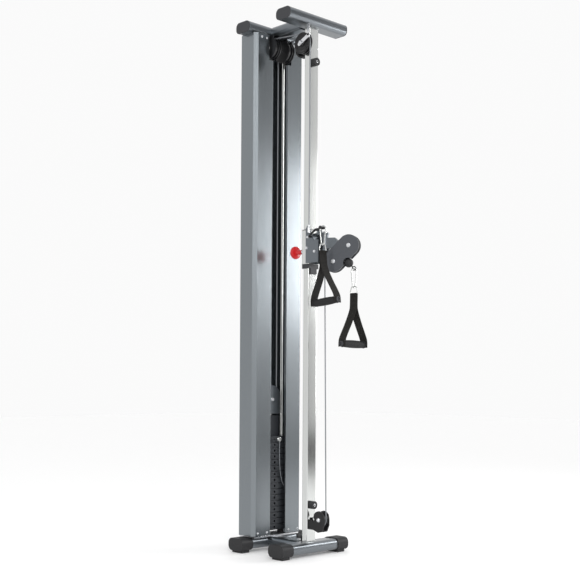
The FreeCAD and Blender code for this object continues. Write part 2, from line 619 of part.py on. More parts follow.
def bush(name, low, high, collar_low, collar_high):
    """A plastic liner between sleeve and column, with a collar outside the sleeve's end."""
    liner = round_bar(name + "_liner", "XY_Plane", "sleeve_width - 2 * sleeve_wall",
                      "sleeve_depth - 2 * sleeve_wall",
                      "2.5", f"{high} - ({low})", None, 0, COLUMN_Y, f"({high} + {low}) / 2")
    collar = round_bar(name + "_collar", "XY_Plane", "sleeve_width", "sleeve_depth", "5",
                       f"{collar_high} - ({collar_low})", None, 0, COLUMN_Y,
                       f"({collar_high} + {collar_low}) / 2")
    bore = box(name + "_bore", ("column_width + 2 * bush_play", "column_depth + 2 * bush_play", "400"),
               ("-column_width / 2 - bush_play", f"{COLUMN_FRONT} - bush_play", "sleeve_low - 100"))
    return liner, collar, bore


def slide_bushes():
    liner, collar, bore = bush("upper_bush", "sleeve_high - bush_height", "sleeve_high", "sleeve_high",
                               "sleeve_high + bush_skirt")
    upper = cut("upper_bush", fuse("upper_bush_solid", [liner, collar]), [bore])
    liner, collar, bore = bush("lower_bush", "sleeve_low", "sleeve_low + bush_height",
                               "sleeve_low - lower_skirt", "sleeve_low")
    tongue = box("bush_tongue", ("34", "4.7", "24"),
                 ("-17", f"{COLUMN_FRONT} - 5", "sleeve_low - lower_skirt - 23"))
    lower = cut("lower_bush", fuse("lower_bush_solid", [liner, collar, tongue]), [bore])
    keep("slide_bushes", group("slide_bushes", [upper, lower]))


def carriage_plates():
    """Two welded side plates and the pivot bracket between them."""
    outline = [(-4, 1180), (-4, 1318), (-12, 1329), (-24, 1329), (-47, 1270), (-74, 1270), (-74, 1180)]
    pieces = [plate(f"side_plate_{side + 1}", "YZ_Plane", outline, "side_plate",
                    f"{side} * (sleeve_width + side_plate) / 2", "front_y", 0) for side in (-1, 1)]
    front = "front_y + column_back - sleeve_depth / 2"
    back = box("pivot_back", ("40", "6", "lug_high + lug_thick - lug_low"),
               ("-20", f"{front} - 6", "lug_low"))
    arms = []
    for i, z in enumerate(("lug_low", "lug_high")):
        arms.append(box(f"lug_arm_{i}", ("32", f"{front} - (front_y + swivel_y)", "lug_thick"),
                        ("-16", "front_y + swivel_y", z)))
        arms.append(rod(f"lug_eye_{i}", "z", "16", "lug_thick", (0, "front_y + swivel_y", z)))
    bore = rod("lug_bore", "z", "pivot_radius + 0.05", "100", (0, "front_y + swivel_y", "lug_low - 5"))
    pieces.append(cut("pivot_bracket", fuse("pivot_bracket_solid", [back] + arms), [bore]))
    keep("carriage_plates", group("carriage_plates", pieces))


ANCHOR_Y = f"front_y + front_wheel_y - {PITCH}"
ANCHOR_TOP = "1331"


def carriage_bolts():
    """The swivel's pivot bolt, the plate bolts and the block that holds the cable's fixed end."""
    pivot = fuse("pivot_bolt", [
        rod("pivot_shaft", "z", "pivot_radius", "lug_high + lug_thick - lug_low",
            (0, "front_y + swivel_y", "lug_low")),
        rod("pivot_head", "z", "10", "8", (0, "front_y + swivel_y", "lug_high + lug_thick")),
        rod("pivot_nut", "z", "10", "7", (0, "front_y + swivel_y", "lug_low - 7"))])
    pieces = [pivot]
    for i, (y, z) in enumerate(((-17, 1284), (-11, 1241), (-55, 1224))):
        for side in (-1, 1):
            x = "-sleeve_width / 2 - side_plate - 5" if side < 0 else "sleeve_width / 2 + side_plate"
            pieces.append(rod(f"plate_bolt_{i}_{side + 1}", "x", "6.5", "5", (x, f"front_y + {y}", z)))
    pieces.append(box("cable_anchor", ("12", "12", "31"),
                      ("-sleeve_width / 2 - side_plate - 12", f"{ANCHOR_Y} - 6", "1300")))
    keep("carriage_bolts", group("carriage_bolts", pieces))


def pop_pin():
    start = f"{COLUMN_Y} + sleeve_depth / 2"
    barrel = rod("barrel_body", "y", "barrel_radius", "barrel_length", (0, start, "pin_z"))
    bore = rod("barrel_bore", "y", "bolt_radius + 0.08", "barrel_length", (0, start, "pin_z"))
    keep("pop_pin_barrel", cut("pop_pin_barrel", barrel, [bore]))
    keep("pop_pin_plunger",
         rod("pop_pin_plunger", "y", "bolt_radius", "62.6", (0, f"{start} - 4.6", "pin_z")))
    neck = rod("knob_neck", "y", "10", "33", (0, f"{start} + barrel_length + 1", "pin_z"))
    disc = rod("knob_disc", "y", "knob_radius", "19", (0, f"{start} + barrel_length + 34", "pin_z"))
    seat = rod("knob_seat", "y", "bolt_radius", "35", (0, f"{start} + barrel_length + 1", "pin_z"))
    keep("pop_pin_knob", cut("pop_pin_knob", fuse("knob_solid", [neck, disc]), [seat]))


# --- routes of round bars and cables ---------------------------------------------------------

def tube(path, radius):
    """A round tube along a wire of straight runs and tangent arcs."""
    start = path.Edges[0]
    first = start.valueAt(start.FirstParameter)
    axis = start.tangentAt(start.FirstParameter)
    ring = Part.Wire([Part.Circle(first, axis, radius).toShape()])
    return path.makePipeShell([ring], True, False)


def route(points, radii):
    """Straight runs between points, with an arc of the given radius at each inner point."""
    edges, here = [], points[0]
    for before, corner, after, radius in zip(points, points[1:], points[2:], radii):
        back, ahead = (before - corner).normalize(), (after - corner).normalize()
        half = math.pi / 2 - back.getAngle(ahead) / 2
        reach = radius * math.tan(half)
        enter, leave = corner + back * reach, corner + ahead * reach
        middle = corner + (back + ahead).normalize() * (radius / math.cos(half) - radius)
        if (enter - here).Length > 1e-6:
            edges.append(Part.LineSegment(here, enter).toShape())
        edges.append(Part.Arc(enter, middle, leave).toShape())
        here = leave
    if (points[-1] - here).Length > 1e-6:
        edges.append(Part.LineSegment(here, points[-1]).toShape())
    return Part.Wire(edges)


def check_tube(node, shape, path, radius):
    wanted = math.pi * radius ** 2 * path.Length
    if abs(shape.Volume / wanted - 1) > 0.01:
        raise RuntimeError(f"{node}: volume {shape.Volume:.0f}, section times length {wanted:.0f}")


def cable(node, runs):
    """One node of cable stretches; each run is a list of points and its arc radii."""
    shapes = []
    for points, radii in runs:
        path = route(points, radii)
        shapes.append(tube(path, num("cable_radius")))
        check_tube(node, shapes[-1], path, num("cable_radius"))
        print(node, "run length", round(path.Length), "mm, arc radii", [round(r, 1) for r in radii])
    return keep(node, solid(node, shapes[0] if len(shapes) == 1 else Part.makeCompound(shapes)))


FRONT_RUN_TOP = 1140.0
BALL_REACH = 47.5
EYE_RING = 7.0
EYE_ROD = 2.0


def cables():
    front, pitch = num("front_y"), num(PITCH)
    wheel_y, wheel_z = front + num("front_wheel_y"), num("front_wheel_z")
    stack_y, stack_z = num(STACK_WHEEL_Y), num("stack_wheel_z")
    column_y, column_z = num(CABLE_Y), num("column_wheel_z")
    rear = front + num("stack_y")
    x = pitch
    # over the front wheel and the left stack wheel, from one hanging run to the other
    span = math.hypot(stack_y - wheel_y, stack_z - wheel_z)
    rise = math.atan2(stack_z - wheel_z, stack_y - wheel_y)
    normal = Vector(0, -math.sin(rise), math.cos(rise)) * pitch
    along = Vector(0, math.cos(rise), math.sin(rise))
    left_a = Vector(-x, wheel_y, wheel_z) + normal
    front_corner = left_a + along * ((wheel_y - pitch - left_a.y) / along.y)
    rear_corner = left_a + along * ((rear - left_a.y) / along.y)
    top_left = [Vector(-x, wheel_y - pitch, wheel_z), front_corner, rear_corner, Vector(-x, rear, stack_z)]
    top_z, low_z = stack_z + pitch, column_z + pitch
    top_right = [Vector(x, rear, stack_z), Vector(x, rear, top_z), Vector(x, stack_y - 26, top_z),
                 Vector(0, column_y + pitch + 26, low_z), Vector(0, column_y, low_z),
                 Vector(0, column_y, column_z)]
    run_z, floor_y = num(FLOOR_RUN_Z), front + num("floor_wheel_y")
    floor_pitch = num(FLOOR_PITCH)
    hung = Vector(0, floor_y - floor_pitch, num("floor_wheel_z") + 4)
    column_run = [Vector(0, column_y, column_z), Vector(0, column_y, run_z),
                  Vector(0, floor_y - floor_pitch, run_z), hung]
    cable("cable_fixed_runs", [(top_left, [pitch, pitch]), (top_right, [pitch, 60.0, 60.0, pitch]),
                               (column_run, [num(ROLLER_PITCH), floor_pitch])])
    swivel = Vector(0, front + num("swivel_y"), FRONT_RUN_TOP)
    anchor = Vector(-x, wheel_y - pitch, num(ANCHOR_TOP))
    cable("cable_carriage_runs",
          [([anchor, Vector(-x, wheel_y - pitch, wheel_z - 0.3)], []),
                                   ([hung + Vector(0, 0, 0.3), swivel], [])])
    lift = num("lift_z")
    under = lift - pitch
    cable("cable_stack_run", [([Vector(-x, rear, stack_z), Vector(-x, rear, under), Vector(x, rear, under),
                                Vector(x, rear, stack_z)], [pitch - 0.01, pitch - 0.01])])


def head_cable():
    """From the swivel axis over the lower wheel, out between the wheels to the ball and its eye."""
    pitch = num(PITCH)
    low = Vector(0, -pitch, num("lower_wheel_z"))
    high = Vector(0, -num("upper_wheel_out"), num("upper_wheel_z"))
    across = (high - low).normalize()
    out = Vector(0, across.z * -1, across.y)
    touch = low + across * pitch
    ball = touch + out * BALL_REACH
    corner_z = low.z + pitch
    top_left = Vector(0, 0, corner_z)
    slope_hit = touch - out * ((touch.z - corner_z) / out.z)
    path = route([Vector(0, 0, FRONT_RUN_TOP + 0.3), top_left, slope_hit,
                  ball - out * (num("ball_radius") - 0.05)], [pitch, pitch])
    stub = route([ball + out * (num("ball_radius") - 0.05), ball + out * (num("ball_radius") + 6)], [])
    eye = Part.makeTorus(EYE_RING, EYE_ROD, ball + out * (num("ball_radius") + 6 + EYE_RING),
                         Vector(1, 0, 0))
    run = tube(path, num("cable_radius"))
    check_tube("cable_head_run", run, path, num("cable_radius"))
    fitting = tube(stub, num("cable_radius")).fuse(eye)
    turn = Rotation(Vector(0, 0, 1), num("head_turn"))
    place = Placement(Vector(0, num("front_y + swivel_y"), 0), turn)
    keep("cable_head_run", solid("cable_head_run", run, place))
    ball_shape = Part.makeSphere(num("ball_radius"), ball)
    bore = Part.makeCylinder(num("cable_radius") + 0.1, 4 * num("ball_radius"),
                             ball - out * 2 * num("ball_radius"), out)
    keep("ball_stop", solid("ball_stop", Part.makeCompound([ball_shape.cut(bore), fitting]), place))
    return ball, out, place


# --- swivel head -----------------------------------------------------------------------------

def head_place(obj):
    """Turn a piece of the swivel head about the swivel axis."""
    obj.Placement = Placement(Vector(), Rotation(Vector(0, 0, 1), num("head_turn")))
    obj.setExpression("Placement.Base.y", link("front_y + swivel_y"))
    obj.setExpression("Placement.Rotation.Angle", link("head_turn"))
    return obj


def head_cheeks(ball):
    """Two plates with round ends over the wheels, notched for the ball."""
    out, low_z, high_z = "upper_wheel_out", "lower_wheel_z", "upper_wheel_z"
    pieces = []
    for i, x in enumerate(("-cheek_inner - cheek", "cheek_inner")):
        ends = [rod(f"head_cheek_low_{i}", "x", "cheek_radius", "cheek", (x, f"-{PITCH}", low_z)),
                rod(f"head_cheek_high_{i}", "x", "cheek_radius", "cheek", (x, f"-{out}", high_z))]
        run = f"({out} - {PITCH})"
        rise = f"({high_z} - {low_z})"
        size = f"sqrt({run} ^ 2 + {rise} ^ 2)"
        a, b = f"(cheek_radius * {rise} / {size})", f"(cheek_radius * {run} / {size})"
        web = plate(f"head_cheek_web_{i}", "YZ_Plane",
                    [(f"-{PITCH} + {a}", f"{low_z} + {b}"), (f"-{PITCH} - {a}", f"{low_z} - {b}"),
                     (f"-{out} - {a}", f"{high_z} - {b}"), (f"-{out} + {a}", f"{high_z} + {b}")], "cheek",
                     f"{x} + cheek / 2")
        notch = rod(f"ball_notch_{i}", "x", "ball_radius + 1.5", "cheek", (x, ball.y, ball.z))
        bores = [rod(f"head_bore_{k}_{i}", "x", "bolt_radius + 0.05", "cheek", (x, y, z))
                 for k, (y, z) in enumerate(((f"-{PITCH}", low_z), (f"-{out}", high_z)))]
        pieces.append(cut(f"head_cheek_{i}", fuse(f"head_cheek_solid_{i}", ends + [web]), [notch] + bores))
    keep("head_cheeks", head_place(group("head_cheeks", pieces)))


def head_wheels():
    """Wheels stand across the head's own frame, so their bodies take its turn and its axis."""
    for node, y, z in (("lower_head_wheel", PITCH, "lower_wheel_z"),
                       ("upper_head_wheel", "upper_wheel_out", "upper_wheel_z")):
        turn = Rotation(Vector(0, 0, 1), num("head_turn")) * TURNS["x"]
        body = wheel(node, "x", "wheel_radius", "wheel_half", f"sin(head_turn) * {y}",
                     f"front_y + swivel_y - cos(head_turn) * {y}", z, turn)
        body.Placement.Rotation = turn


def head_bolts():
    half = "cheek_inner + cheek"
    pieces = [bolt(f"head_bolt_{i}", f"-({half})", half, y, z)
              for i,
              (y, z) in enumerate(((f"-{PITCH}", "lower_wheel_z"), ("-upper_wheel_out", "upper_wheel_z")))]
    keep("head_bolts", head_place(group("head_bolts", pieces)))


def swivel_yoke():
    low, high = "lug_low + lug_thick + 0.3", "lug_high - 0.3"
    barrel = rod("yoke_tube", "z", "tube_radius", f"{high} - ({low})", (0, 0, low))
    web = plate("yoke_web", "YZ_Plane",
                [(-8, "lug_low + lug_thick + 0.3"), (-8, 1277), (-44, 1277), (-54, 1268), (-54, 1236),
                 (-46, "lug_low + lug_thick + 0.3")],
                "2 * cheek_inner")
    bore = rod("yoke_bore", "z", "pivot_radius + 0.06", "100", (0, 0, "lug_low"))
    keep("swivel_yoke", head_place(cut("swivel_yoke", fuse("yoke_solid", [barrel, web]), [bore])))


# --- handles ---------------------------------------------------------------------------------

def hook_shapes():
    """A snap hook in its own plane XZ, hung from its top bar's middle at the origin; its gate is apart."""
    r = num("hook_rod")
    half = num("hook_width") / 2 - r
    length = num("hook_length") - 2 * r
    low = 8.0
    top, bottom = Vector(0, 0, 0), Vector(0, 0, -length)
    side = Vector(half, 0, -half)
    foot = Vector(low, 0, -length + low)
    crown = Part.Arc(Vector(-half, 0, -half), top, side).toShape()
    spine = Part.LineSegment(side, foot).toShape()
    eye = Part.Arc(foot, bottom, Vector(-low, 0, -length + low)).toShape()
    gate_top, gate_low = Vector(-half, 0, -half), Vector(-low, 0, -length + low)
    gap = (gate_low - gate_top).normalize()
    nose = Part.LineSegment(gate_top + gap * 5, gate_top).toShape()
    heel = Part.LineSegment(gate_low, gate_low - gap * 6).toShape()
    body = tube(Part.Wire([nose, crown, spine, eye, heel]), r)
    long = (gate_low - gate_top).Length
    gate = Part.makeCylinder(r - 0.35, long - 12.5, gate_top + gap * 5.8, gap)
    return body, gate


def ring_shape():
    """A triangular ring in its own plane YZ, apex at the origin, bar at the bottom."""
    r = num("ring_rod")
    half = num("ring_width") / 2 - r
    drop = num("ring_height") - r
    points = [Vector(0, 0, -drop), Vector(0, half, -drop), Vector(0, 12, 0), Vector(0, -12, 0),
              Vector(0, -half, -drop), Vector(0, 0, -drop)]
    return tube(route(points, [8.0, 12.0, 12.0, 8.0]), r)


def strap_shape():
    """Folded webbing in the plane XZ: a double neck from the ring's bar, then two legs to the grip."""
    t, wide = num("web_thick"), num("web_width")
    drop, full, reach = num("strap_drop"), num("handle_drop"), num("grip_length") / 2 - 8
    tip = num("grip_radius") + 1.0
    outer = [(-t, 0), (t, 0), (t, -drop + 14), (reach + t, -full + 12), (reach + t, -full - 12),
             (reach, -full - 12),
             (reach, -full + 12), (0.6, -drop), (-0.6, -drop), (-reach, -full + 12), (-reach, -full - 12),
             (-reach - t, -full - 12), (-reach - t, -full + 12), (-t, -drop + 14)]
    points = [Vector(x, -wide / 2, z) for x, z in outer]
    face = Part.Face(Part.makePolygon(points + points[:1]))
    web = face.extrude(Vector(0, wide, 0))
    holes = [Part.makeCylinder(num("grip_bore") + 0.3, 2 * t + 2,
                               Vector(side * reach - (0 if side > 0 else t + 1) - 0.5, 0, -full),
                               Vector(1, 0, 0)) for side in (-1, 1)]
    return web, holes


def grip_shape(length):
    """A barrel-shaped grip with a collar at each end, along X, centred on the origin."""
    half, r = length / 2, num("grip_radius")
    neck = half - 10
    edges = [Part.LineSegment(Vector(-half, 0, 0), Vector(-half, 0, 10.7)).toShape(),
             Part.LineSegment(Vector(-half, 0, 10.7), Vector(-neck, 0, 10.7)).toShape(),
             Part.LineSegment(Vector(-neck, 0, 10.7), Vector(-neck, 0, r - 1.5)).toShape(),
             Part.Arc(Vector(-neck, 0, r - 1.5), Vector(0, 0, r + 2), Vector(neck, 0, r - 1.5)).toShape(),
             Part.LineSegment(Vector(neck, 0, r - 1.5), Vector(neck, 0, 10.7)).toShape(),
             Part.LineSegment(Vector(neck, 0, 10.7), Vector(half, 0, 10.7)).toShape(),
             Part.LineSegment(Vector(half, 0, 10.7), Vector(half, 0, 0)).toShape(),
             Part.LineSegment(Vector(half, 0, 0), Vector(-half, 0, 0)).toShape()]
    return Part.Face(Part.Wire(edges)).revolve(Vector(), Vector(1, 0, 0), 360)


def handle(side, top, turn, tilt):
    """A snap hook, ring, strap and grip that hang from the middle of the hook's top bar."""
    place = Placement(top, Rotation(Vector(0, 0, 1), turn))
    body, gate = hook_shapes()
    keep(f"{side}_carabiner", solid(f"{side}_carabiner", body, place))
    keep(f"{side}_gate", solid(f"{side}_gate", gate, place))
    link_z = -(num("hook_length") - 2 * num("hook_rod")) + num("hook_rod") + num("ring_rod") + 0.3
    ring_place = place * Placement(Vector(0, 0, link_z), Rotation())
    keep(f"{side}_ring", solid(f"{side}_ring", ring_shape(), ring_place))
    strap_z = link_z - num("ring_height") + 2 * num("ring_rod")
    lean = Placement(Vector(0, 0, strap_z - num("ring_rod") * 2 - 0.4), Rotation(Vector(0, 1, 0), tilt))
    web, holes = strap_shape()
    for hole in holes:
        web = web.cut(hole)
    keep(f"{side}_strap", solid(f"{side}_strap", web, place * lean))
    grip = grip_shape(num("grip_length") + 2)
    shaft = lean * Placement(Vector(0, 0, -num("handle_drop")), Rotation())
    keep(f"{side}_grip", solid(f"{side}_grip", grip, place * shaft))


def handle_hook():
    """A coated rod from the left plate's ear, whose end is the peg for the second handle."""
    front = num("front_y")
    x, y, z = num("peg_x"), front + num("peg_y"), num("peg_z")
    wall = -num("sleeve_width") / 2 - num("side_plate")
    points = [Vector(wall, front - 34, 1284), Vector(wall - 12, front - 34, 1284),
              Vector(wall - 12, front - 70, z),
              Vector(wall - 12, y, z), Vector(x - 14, y, z)]
    rod_shape = tube(route(points, [6.0, 14.0, 9.0]), num("peg_radius"))
    knob = Part.makeSphere(num("peg_radius") + 2.5, Vector(x - 15, y, z))
    keep("handle_hook", solid("handle_hook", rod_shape.fuse(knob)))


# --- selector pin lanyard --------------------------------------------------------------------

LANYARD_RADIUS = 1.5


def lanyard_points():
    """From the pin's knob behind the right cover's lip, down and back up to the head plate's end."""
    front, z = num("front_y"), num(PIN_HEIGHT)
    row = [(0, 178, -9.3), (1, 179, -24), (6, 185, -62), (15, 193, -104), (26, 199, -150), (40, 201, -188),
           (58, 201, -207),
           (77, 201, -200), (90, 201, -172), (96, 201, -130), (99, 201, -86), (101, 202, -45),
           (102, 203.5, -13)]
    return [Vector(x, front + y, z + dz) for x, y, dz in row]


def corner_radius(before, corner, after):
    back, ahead = before - corner, after - corner
    turn = math.pi - back.getAngle(ahead)
    return 0.45 * min(back.Length, ahead.Length) / math.tan(turn / 2)


def lanyard():
    points = lanyard_points()
    radii = [corner_radius(a, b, c) for a, b, c in zip(points, points[1:], points[2:])]
    path = route(points, radii)
    shape = tube(path, LANYARD_RADIUS)
    check_tube("pin_lanyard", shape, path, LANYARD_RADIUS)
    print("pin_lanyard length", round(path.Length), "mm, radii", [round(r) for r in radii])
    keep("pin_lanyard", solid("pin_lanyard", shape))


# --- assembly --------------------------------------------------------------------------------

def build():
    cross_tubes()
    foot_caps()
    top_caps()
    column()
    bumpers()
    covers()
    stack_base()
    weight_plates()
    head_plate()
    selector_stem()
    selector_pin()
    lift_bracket()
    lift_bolt()
    fixed_wheels()
    wheel_bolts()
    top_brackets()
    floor_housing()
    frame_fasteners()
    sleeve()
    slide_bushes()
    carriage_plates()
    carriage_bolts()
    pop_pin()
    handle_hook()
    cables()
    ball, out, place = head_cable()
    head_cheeks(ball)
    head_wheels()
    head_bolts()
    swivel_yoke()
    lift = num("hook_rod") + 0.4
    peg_top = Vector(num("peg_x"), num("front_y + peg_y"), num("peg_z") + num("peg_radius") + lift)
    handle("left", peg_top, 90, 5.0)
    eye = place.multVec(ball + out * (num("ball_radius") + 6 + EYE_RING))
    eye_top = eye + Vector(0, 0, -EYE_RING + EYE_ROD + lift)
    handle("right", eye_top, 0, 1.0)
    lanyard()


def check():
    for obj in doc.Objects:
        if any(word in ("Invalid", "Error") for word in obj.State):
            raise RuntimeError(f"{obj.Label} is {obj.State}")
    for node, obj in parts.items():
        if obj.Shape.isNull() or not obj.Shape.isValid():
            raise RuntimeError(f"{node} has no valid shape")


def write():
    os.makedirs("parts", exist_ok=True)
    whole = FreeCAD.BoundBox()
    for node, obj in parts.items():
        obj.Shape.exportStep(f"parts/{node}.step")
        whole.add(obj.Shape.BoundBox)
    print(len(parts), "parts, box",
          [round(v, 2) for v in (whole.XMin, whole.XMax, whole.YMin, whole.YMax, whole.ZMin, whole.ZMax)])


build()
doc.recompute()
check()
write()
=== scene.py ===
import json
import math
import bpy
from mathutils import Matrix, Vector


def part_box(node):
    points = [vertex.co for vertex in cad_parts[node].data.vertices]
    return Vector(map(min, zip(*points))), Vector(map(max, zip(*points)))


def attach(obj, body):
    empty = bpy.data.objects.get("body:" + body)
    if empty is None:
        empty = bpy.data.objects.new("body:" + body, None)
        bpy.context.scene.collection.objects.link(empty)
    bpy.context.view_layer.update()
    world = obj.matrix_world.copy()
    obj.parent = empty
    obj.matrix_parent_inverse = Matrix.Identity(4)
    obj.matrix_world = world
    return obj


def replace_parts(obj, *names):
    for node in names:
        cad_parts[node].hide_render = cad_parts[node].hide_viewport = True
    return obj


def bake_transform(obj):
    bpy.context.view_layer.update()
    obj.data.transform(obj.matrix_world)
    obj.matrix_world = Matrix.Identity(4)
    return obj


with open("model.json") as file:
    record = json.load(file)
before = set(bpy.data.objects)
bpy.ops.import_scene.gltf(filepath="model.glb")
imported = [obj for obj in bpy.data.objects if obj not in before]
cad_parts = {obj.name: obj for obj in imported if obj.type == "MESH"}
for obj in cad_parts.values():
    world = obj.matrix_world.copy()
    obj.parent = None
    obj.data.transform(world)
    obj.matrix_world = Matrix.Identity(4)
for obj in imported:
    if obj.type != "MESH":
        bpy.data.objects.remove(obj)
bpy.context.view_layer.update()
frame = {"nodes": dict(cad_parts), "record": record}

# The CAD model's own dimensions in mm, as part.py has them.
MM = 0.001
FRONT = -36.465                 # Y of the front tubes' middle
COLUMN_Y = FRONT + 3.0
STACK_Y = FRONT + 240.0
PITCH = 38.3                    # from a large wheel's axle to its cable's middle
FLOOR_PITCH = 25.3              # the same for the floor wheel
CABLE_RADIUS = 2.5
LARGE_WHEEL, FLOOR_WHEEL, ROLLER = 42, 29, 15.2     # radii
FORK = 16                       # half the length of a bolt through a wheel's fork
FRONT_WHEEL_Y, FRONT_WHEEL_Z = FRONT + 11, 2068
COLUMN_WHEEL_Z = 2066
STACK_WHEEL_Z = 2088
FLOOR_WHEEL_Y, FLOOR_WHEEL_Z = FRONT - 69, 150
LIFT_WHEEL_Z = 627
PIVOT_Y = FRONT - 80            # the swivel head's upright axis
HEAD_TURN = 27.0                # degrees the head stands turned at rest
LOWER_WHEEL_Z = 1182            # the head's two wheels: height, and for the upper one its reach
UPPER_WHEEL_REACH, UPPER_WHEEL_Z = 101, 1244
HEAD_LOW_Z = 1140               # where the cable from the floor wheel enters the head
ANCHOR_TOP_Z = 1331             # the cable's end on the carriage
HOOK = 74.5                     # between the middles of a carabiner's top and bottom bars
HANDLE_DROP = -197              # the grip's middle, from the strap's top
LEFT_TILT, RIGHT_TILT = 5.0, 1.0
X_AXIS = (1, 0, 0)
HEAD = Matrix.Translation(Vector((0, PIVOT_Y, 0)) * MM) @ Matrix.Rotation(math.radians(HEAD_TURN), 4, "Z")


# --- materials: all procedural, one per slot of the record -----------------------------------

def material(name, colour, metal, rough, coat=0.0, grain=0.0, grain_scale=200.0, mottle=0.0, bevel=0.0015,
             stretch=None):
    """A Principled material with rounded edges, and optional fine bump and uneven gloss."""
    mat = bpy.data.materials.new(name)
    mat.use_nodes = True
    nodes, links = mat.node_tree.nodes, mat.node_tree.links
    shader = nodes["Principled BSDF"]
    shader.inputs["Base Color"].default_value = (*colour, 1)
    shader.inputs["Metallic"].default_value = metal
    shader.inputs["Roughness"].default_value = rough
    shader.inputs["Coat Weight"].default_value = coat
    shader.inputs["Specular IOR Level"].default_value = 0.5 if metal > 0.4 else 0.28
    shader.inputs["Coat Roughness"].default_value = 0.12
    where = nodes.new("ShaderNodeTexCoord").outputs["Object"]
    if stretch:
        mapping = nodes.new("ShaderNodeMapping")
        mapping.inputs["Scale"].default_value = stretch
        links.new(where, mapping.inputs["Vector"])
        where = mapping.outputs["Vector"]
    edge = nodes.new("ShaderNodeBevel")
    edge.samples = 4
    edge.inputs["Radius"].default_value = bevel
    normal = edge.outputs["Normal"]
    if grain:
        noise = nodes.new("ShaderNodeTexNoise")
        noise.inputs["Scale"].default_value = grain_scale
        noise.inputs["Detail"].default_value = 4
        links.new(where, noise.inputs["Vector"])
        bump = nodes.new("ShaderNodeBump")
        bump.inputs["Strength"].default_value = grain
        bump.inputs["Distance"].default_value = 0.0008
        links.new(noise.outputs["Fac"], bump.inputs["Height"])
        links.new(normal, bump.inputs["Normal"])
        normal = bump.outputs["Normal"]
    if mottle:
        cloud = nodes.new("ShaderNodeTexNoise")
        cloud.inputs["Scale"].default_value = 6.0
        cloud.inputs["Detail"].default_value = 5
        links.new(where, cloud.inputs["Vector"])
        spread = nodes.new("ShaderNodeMapRange")
        spread.inputs["To Min"].default_value = max(0.02, rough - mottle)
        spread.inputs["To Max"].default_value = min(1.0, rough + mottle)
        links.new(cloud.outputs["Fac"], spread.inputs["Value"])
        links.new(spread.outputs["Result"], shader.inputs["Roughness"])
    links.new(normal, shader.inputs["Normal"])
    return mat


def woven(mat):
    """Fine ribs across a webbing strap."""
    nodes, links = mat.node_tree.nodes, mat.node_tree.links
    shader = nodes["Principled BSDF"]
    wave = nodes.new("ShaderNodeTexWave")
    wave.inputs["Scale"].default_value = 260.0
    wave.bands_direction = "Z"
    links.new(nodes.new("ShaderNodeTexCoord").outputs["Object"], wave.inputs["Vector"])
    bump = nodes.new("ShaderNodeBump")
    bump.inputs["Strength"].default_value = 0.5
    bump.inputs["Distance"].default_value = 0.0008
    links.new(wave.outputs["Fac"], bump.inputs["Height"])
    links.new(bump.outputs["Normal"], shader.inputs["Normal"])
    return mat


MATS = {
    "frame_paint": material("frame_paint", (0.17, 0.185, 0.20), metal=0.9, rough=0.30, coat=0.25,
                            grain=0.05, grain_scale=900, mottle=0.06, bevel=0.002),
    "chrome": material("chrome", (0.62, 0.63, 0.62), metal=1.0, rough=0.14, coat=0, grain=0.02,
                       grain_scale=60, mottle=0.05, bevel=0.001, stretch=(1, 1, 0.05)),
    "bright_steel": material("bright_steel", (0.66, 0.67, 0.69), metal=1.0, rough=0.26, coat=0, grain=0.05,
                             grain_scale=500, mottle=0.08, bevel=0.0008),
    "cover_paint": material("cover_paint", (0.205, 0.224, 0.238), metal=0.95, rough=0.25, coat=0.15,
                            grain=0.10, grain_scale=420, mottle=0.04, bevel=0.0015, stretch=(1, 1, 0.02)),
    "plate_paint": material("plate_paint", (0.13, 0.145, 0.16), metal=0.75, rough=0.33, coat=0.3,
                            grain=0.05, grain_scale=900, mottle=0.06, bevel=0.001),
    "cheek_paint": material("cheek_paint", (0.07, 0.075, 0.085), metal=0.5, rough=0.34, coat=0.2,
                            grain=0.05, grain_scale=900, mottle=0.06, bevel=0.001),
    "black_paint": material("black_paint", (0.010, 0.010, 0.011), metal=0.1, rough=0.38, coat=0.1,
                            grain=0.08, grain_scale=700, mottle=0.08, bevel=0.001),
    "rubber": material("rubber", (0.020, 0.020, 0.0215), metal=0.0, rough=0.55, coat=0, grain=0.15,
                       grain_scale=700, mottle=0.1, bevel=0.003),
    "plastic": material("plastic", (0.035, 0.036, 0.040), metal=0.0, rough=0.45, coat=0, grain=0.12,
                        grain_scale=900, mottle=0.08, bevel=0.002),
    "nylon": material("nylon", (0.010, 0.010, 0.011), metal=0.0, rough=0.32, coat=0, grain=0.05,
                      grain_scale=900, mottle=0.06, bevel=0.0008),
    "red_plastic": material("red_plastic", (0.52, 0.015, 0.018), metal=0.0, rough=0.28, coat=0.4,
                            grain=0.03, grain_scale=600, mottle=0.05, bevel=0.002),
    "iron": material("iron", (0.030, 0.033, 0.038), metal=0.3, rough=0.34, coat=0.1, grain=0.15,
                     grain_scale=400, mottle=0.08, bevel=0.004),
    "cable": material("cable", (0.20, 0.21, 0.225), metal=0.35, rough=0.3, coat=0.2, grain=0.1,
                      grain_scale=1500, mottle=0.05, bevel=0.0005),
    "webbing": woven(material("webbing", (0.014, 0.013, 0.0115), metal=0.0, rough=0.85, coat=0, grain=0.1,
                              grain_scale=900, mottle=0.05, bevel=0.0005)),
    "foam": material("foam", (0.016, 0.016, 0.0165), metal=0.0, rough=0.75, coat=0, grain=0.9,
                     grain_scale=420, mottle=0.1, bevel=0.001),
}
SLOTS = {row["node"]: row["material_slot"] for row in frame["record"]["subparts"]}
for node, obj in frame["nodes"].items():
    obj.data.materials.clear()
    obj.data.materials.append(MATS[SLOTS[node]])


# --- mesh makers -----------------------------------------------------------------------------

